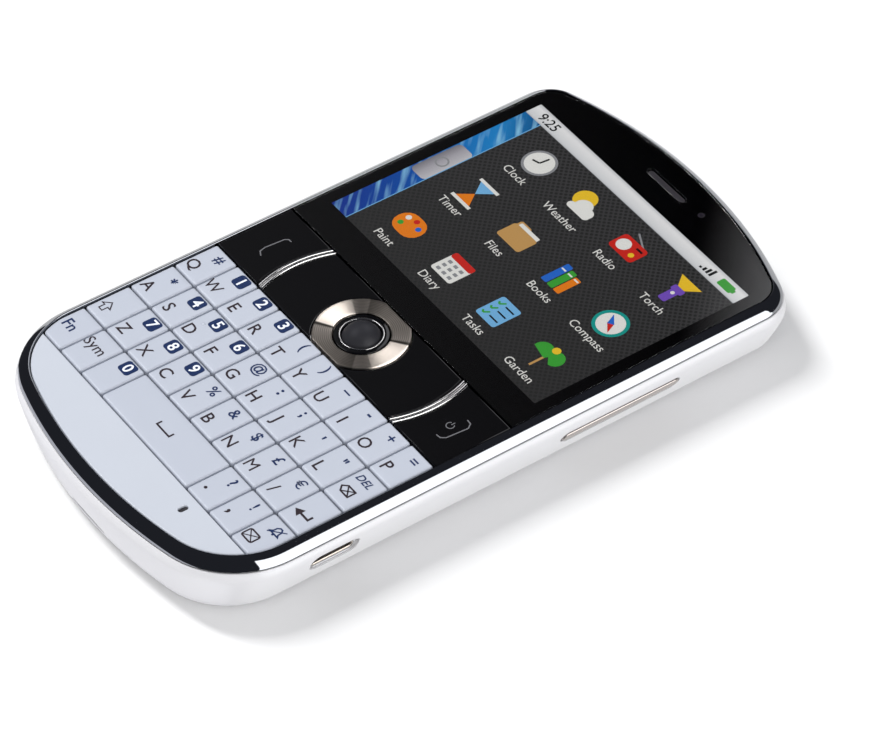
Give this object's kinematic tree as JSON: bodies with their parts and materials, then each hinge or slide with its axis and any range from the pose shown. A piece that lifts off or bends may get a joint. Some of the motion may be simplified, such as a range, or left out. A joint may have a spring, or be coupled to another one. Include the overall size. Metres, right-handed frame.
{
  "type": "keyboard phone",
  "caption": "Bar phone with a letter keyboard of separate keys, a trackball in a turned ring, a landscape display in a polished bezel, and a pull-off battery cover.",
  "frame": {"origin": "middle of the flat back face that the phone lies on", "axes": "+X the right-hand side, +Y towards the earpiece end, +Z out of the screen"},
  "size_m": [0.0624, 0.114, 0.0128],
  "materials": {
    "white_shell": "glossy white lacquer",
    "chrome_bezel": "polished chrome plating",
    "window_glass": "clear glass with a black printed border",
    "display_panel": "lit display behind a steel frame",
    "pearl_keys": "satin pearl blue white",
    "silicone": "matt dark silicone",
    "circuit_board": "green solder mask with steel shields",
    "battery_wrap": "matt dark wrap",
    "chrome_trim": "polished",
    "turned_ring": "turned champagne metal",
    "socket_steel": "stamped steel",
    "black_plastic": "fine matt",
    "black_gloss": "high gloss black",
    "ball_resin": "satin dark resin",
    "rocker_metal": "satin champagne metal"
  },
  "bodies": {
    "phone_body": {"rear_housing": "white_shell", "front_bezel": "chrome_bezel", "display_window": "window_glass", "lcd_panel": "display_panel", "chin_plate": "pearl_keys", "keypad_sheet": "silicone", "main_board": "circuit_board", "battery": "battery_wrap", "nav_trim": "chrome_trim", "nav_ring": "turned_ring", "usb_socket": "socket_steel", "headset_socket": "black_plastic", "camera_module": "black_plastic", "earpiece": "black_plastic", "loudspeaker": "black_plastic"},
    "battery_cover": {"battery_cover": "white_shell"},
    "volume_rocker": {"volume_rocker": "rocker_metal"},
    "trackball_frame": {"trackball_frame": "black_gloss"},
    "trackball": {"trackball": "ball_resin"},
    "call_key": {"call_key": "black_gloss"},
    "menu_key": {"menu_key": "black_gloss"},
    "back_key": {"back_key": "black_gloss"},
    "end_key": {"end_key": "black_gloss"},
    "q_key": {"q_key": "pearl_keys"},
    "w_key": {"w_key": "pearl_keys"},
    "e_key": {"e_key": "pearl_keys"},
    "r_key": {"r_key": "pearl_keys"},
    "t_key": {"t_key": "pearl_keys"},
    "y_key": {"y_key": "pearl_keys"},
    "u_key": {"u_key": "pearl_keys"},
    "i_key": {"i_key": "pearl_keys"},
    "o_key": {"o_key": "pearl_keys"},
    "p_key": {"p_key": "pearl_keys"},
    "a_key": {"a_key": "pearl_keys"},
    "s_key": {"s_key": "pearl_keys"},
    "d_key": {"d_key": "pearl_keys"},
    "f_key": {"f_key": "pearl_keys"},
    "g_key": {"g_key": "pearl_keys"},
    "h_key": {"h_key": "pearl_keys"},
    "j_key": {"j_key": "pearl_keys"},
    "k_key": {"k_key": "pearl_keys"},
    "l_key": {"l_key": "pearl_keys"},
    "delete_key": {"delete_key": "pearl_keys"},
    "shift_key": {"shift_key": "pearl_keys"},
    "z_key": {"z_key": "pearl_keys"},
    "x_key": {"x_key": "pearl_keys"},
    "c_key": {"c_key": "pearl_keys"},
    "v_key": {"v_key": "pearl_keys"},
    "b_key": {"b_key": "pearl_keys"},
    "n_key": {"n_key": "pearl_keys"},
    "m_key": {"m_key": "pearl_keys"},
    "slash_key": {"slash_key": "pearl_keys"},
    "enter_key": {"enter_key": "pearl_keys"},
    "fn_key": {"fn_key": "pearl_keys"},
    "sym_key": {"sym_key": "pearl_keys"},
    "zero_key": {"zero_key": "pearl_keys"},
    "space_key": {"space_key": "pearl_keys"},
    "period_key": {"period_key": "pearl_keys"},
    "comma_key": {"comma_key": "pearl_keys"},
    "message_key": {"message_key": "pearl_keys"}
  },
  "joints": [
    {"name": "cover_pull", "type": "slide", "parent": "phone_body", "child": "battery_cover", "axis": [0, 0, -1], "range_m": [0, 0.012]},
    {"name": "volume_rock", "type": "hinge", "parent": "phone_body", "child": "volume_rocker", "pos_m": [0.02694, 0.0184, 0.00525], "axis": [0, 0, 1], "range_deg": [-1.2, 1.2], "stiffness_Nm_per_rad": 0.05},
    {"name": "trackball_click", "type": "slide", "parent": "phone_body", "child": "trackball_frame", "axis": [0, 0, -1], "range_m": [0, 0.0003], "stiffness_N_per_m": 300},
    {"name": "trackball_roll", "type": "hinge", "parent": "trackball_frame", "child": "trackball", "pos_m": [0, -0.0072, 0.00945], "axis": [1, 0, 0], "continuous": true},
    {"name": "call_press", "type": "slide", "parent": "phone_body", "child": "call_key", "axis": [0, 0, -1], "range_m": [0, 0.0003], "stiffness_N_per_m": 250},
    {"name": "menu_press", "type": "slide", "parent": "phone_body", "child": "menu_key", "axis": [0, 0, -1], "range_m": [0, 0.0003], "stiffness_N_per_m": 250},
    {"name": "back_press", "type": "slide", "parent": "phone_body", "child": "back_key", "axis": [0, 0, -1], "range_m": [0, 0.0003], "stiffness_N_per_m": 250},
    {"name": "end_press", "type": "slide", "parent": "phone_body", "child": "end_key", "axis": [0, 0, -1], "range_m": [0, 0.0003], "stiffness_N_per_m": 250},
    {"name": "q_press", "type": "slide", "parent": "phone_body", "child": "q_key", "axis": [0, 0, -1], "range_m": [0, 0.0003], "stiffness_N_per_m": 200},
    {"name": "w_press", "type": "slide", "parent": "phone_body", "child": "w_key", "axis": [0, 0, -1], "range_m": [0, 0.0003], "stiffness_N_per_m": 200},
    {"name": "e_press", "type": "slide", "parent": "phone_body", "child": "e_key", "axis": [0, 0, -1], "range_m": [0, 0.0003], "stiffness_N_per_m": 200},
    {"name": "r_press", "type": "slide", "parent": "phone_body", "child": "r_key", "axis": [0, 0, -1], "range_m": [0, 0.0003], "stiffness_N_per_m": 200},
    {"name": "t_press", "type": "slide", "parent": "phone_body", "child": "t_key", "axis": [0, 0, -1], "range_m": [0, 0.0003], "stiffness_N_per_m": 200},
    {"name": "y_press", "type": "slide", "parent": "phone_body", "child": "y_key", "axis": [0, 0, -1], "range_m": [0, 0.0003], "stiffness_N_per_m": 200},
    {"name": "u_press", "type": "slide", "parent": "phone_body", "child": "u_key", "axis": [0, 0, -1], "range_m": [0, 0.0003], "stiffness_N_per_m": 200},
    {"name": "i_press", "type": "slide", "parent": "phone_body", "child": "i_key", "axis": [0, 0, -1], "range_m": [0, 0.0003], "stiffness_N_per_m": 200},
    {"name": "o_press", "type": "slide", "parent": "phone_body", "child": "o_key", "axis": [0, 0, -1], "range_m": [0, 0.0003], "stiffness_N_per_m": 200},
    {"name": "p_press", "type": "slide", "parent": "phone_body", "child": "p_key", "axis": [0, 0, -1], "range_m": [0, 0.0003], "stiffness_N_per_m": 200},
    {"name": "a_press", "type": "slide", "parent": "phone_body", "child": "a_key", "axis": [0, 0, -1], "range_m": [0, 0.0003], "stiffness_N_per_m": 200},
    {"name": "s_press", "type": "slide", "parent": "phone_body", "child": "s_key", "axis": [0, 0, -1], "range_m": [0, 0.0003], "stiffness_N_per_m": 200},
    {"name": "d_press", "type": "slide", "parent": "phone_body", "child": "d_key", "axis": [0, 0, -1], "range_m": [0, 0.0003], "stiffness_N_per_m": 200},
    {"name": "f_press", "type": "slide", "parent": "phone_body", "child": "f_key", "axis": [0, 0, -1], "range_m": [0, 0.0003], "stiffness_N_per_m": 200},
    {"name": "g_press", "type": "slide", "parent": "phone_body", "child": "g_key", "axis": [0, 0, -1], "range_m": [0, 0.0003], "stiffness_N_per_m": 200},
    {"name": "h_press", "type": "slide", "parent": "phone_body", "child": "h_key", "axis": [0, 0, -1], "range_m": [0, 0.0003], "stiffness_N_per_m": 200},
    {"name": "j_press", "type": "slide", "parent": "phone_body", "child": "j_key", "axis": [0, 0, -1], "range_m": [0, 0.0003], "stiffness_N_per_m": 200},
    {"name": "k_press", "type": "slide", "parent": "phone_body", "child": "k_key", "axis": [0, 0, -1], "range_m": [0, 0.0003], "stiffness_N_per_m": 200},
    {"name": "l_press", "type": "slide", "parent": "phone_body", "child": "l_key", "axis": [0, 0, -1], "range_m": [0, 0.0003], "stiffness_N_per_m": 200},
    {"name": "delete_press", "type": "slide", "parent": "phone_body", "child": "delete_key", "axis": [0, 0, -1], "range_m": [0, 0.0003], "stiffness_N_per_m": 200},
    {"name": "shift_press", "type": "slide", "parent": "phone_body", "child": "shift_key", "axis": [0, 0, -1], "range_m": [0, 0.0003], "stiffness_N_per_m": 200},
    {"name": "z_press", "type": "slide", "parent": "phone_body", "child": "z_key", "axis": [0, 0, -1], "range_m": [0, 0.0003], "stiffness_N_per_m": 200},
    {"name": "x_press", "type": "slide", "parent": "phone_body", "child": "x_key", "axis": [0, 0, -1], "range_m": [0, 0.0003], "stiffness_N_per_m": 200},
    {"name": "c_press", "type": "slide", "parent": "phone_body", "child": "c_key", "axis": [0, 0, -1], "range_m": [0, 0.0003], "stiffness_N_per_m": 200},
    {"name": "v_press", "type": "slide", "parent": "phone_body", "child": "v_key", "axis": [0, 0, -1], "range_m": [0, 0.0003], "stiffness_N_per_m": 200},
    {"name": "b_press", "type": "slide", "parent": "phone_body", "child": "b_key", "axis": [0, 0, -1], "range_m": [0, 0.0003], "stiffness_N_per_m": 200},
    {"name": "n_press", "type": "slide", "parent": "phone_body", "child": "n_key", "axis": [0, 0, -1], "range_m": [0, 0.0003], "stiffness_N_per_m": 200},
    {"name": "m_press", "type": "slide", "parent": "phone_body", "child": "m_key", "axis": [0, 0, -1], "range_m": [0, 0.0003], "stiffness_N_per_m": 200},
    {"name": "slash_press", "type": "slide", "parent": "phone_body", "child": "slash_key", "axis": [0, 0, -1], "range_m": [0, 0.0003], "stiffness_N_per_m": 200},
    {"name": "enter_press", "type": "slide", "parent": "phone_body", "child": "enter_key", "axis": [0, 0, -1], "range_m": [0, 0.0003], "stiffness_N_per_m": 200},
    {"name": "fn_press", "type": "slide", "parent": "phone_body", "child": "fn_key", "axis": [0, 0, -1], "range_m": [0, 0.0003], "stiffness_N_per_m": 200},
    {"name": "sym_press", "type": "slide", "parent": "phone_body", "child": "sym_key", "axis": [0, 0, -1], "range_m": [0, 0.0003], "stiffness_N_per_m": 200},
    {"name": "zero_press", "type": "slide", "parent": "phone_body", "child": "zero_key", "axis": [0, 0, -1], "range_m": [0, 0.0003], "stiffness_N_per_m": 200},
    {"name": "space_press", "type": "slide", "parent": "phone_body", "child": "space_key", "axis": [0, 0, -1], "range_m": [0, 0.0003], "stiffness_N_per_m": 200},
    {"name": "period_press", "type": "slide", "parent": "phone_body", "child": "period_key", "axis": [0, 0, -1], "range_m": [0, 0.0003], "stiffness_N_per_m": 200},
    {"name": "comma_press", "type": "slide", "parent": "phone_body", "child": "comma_key", "axis": [0, 0, -1], "range_m": [0, 0.0003], "stiffness_N_per_m": 200},
    {"name": "message_press", "type": "slide", "parent": "phone_body", "child": "message_key", "axis": [0, 0, -1], "range_m": [0, 0.0003], "stiffness_N_per_m": 200}
  ]
}
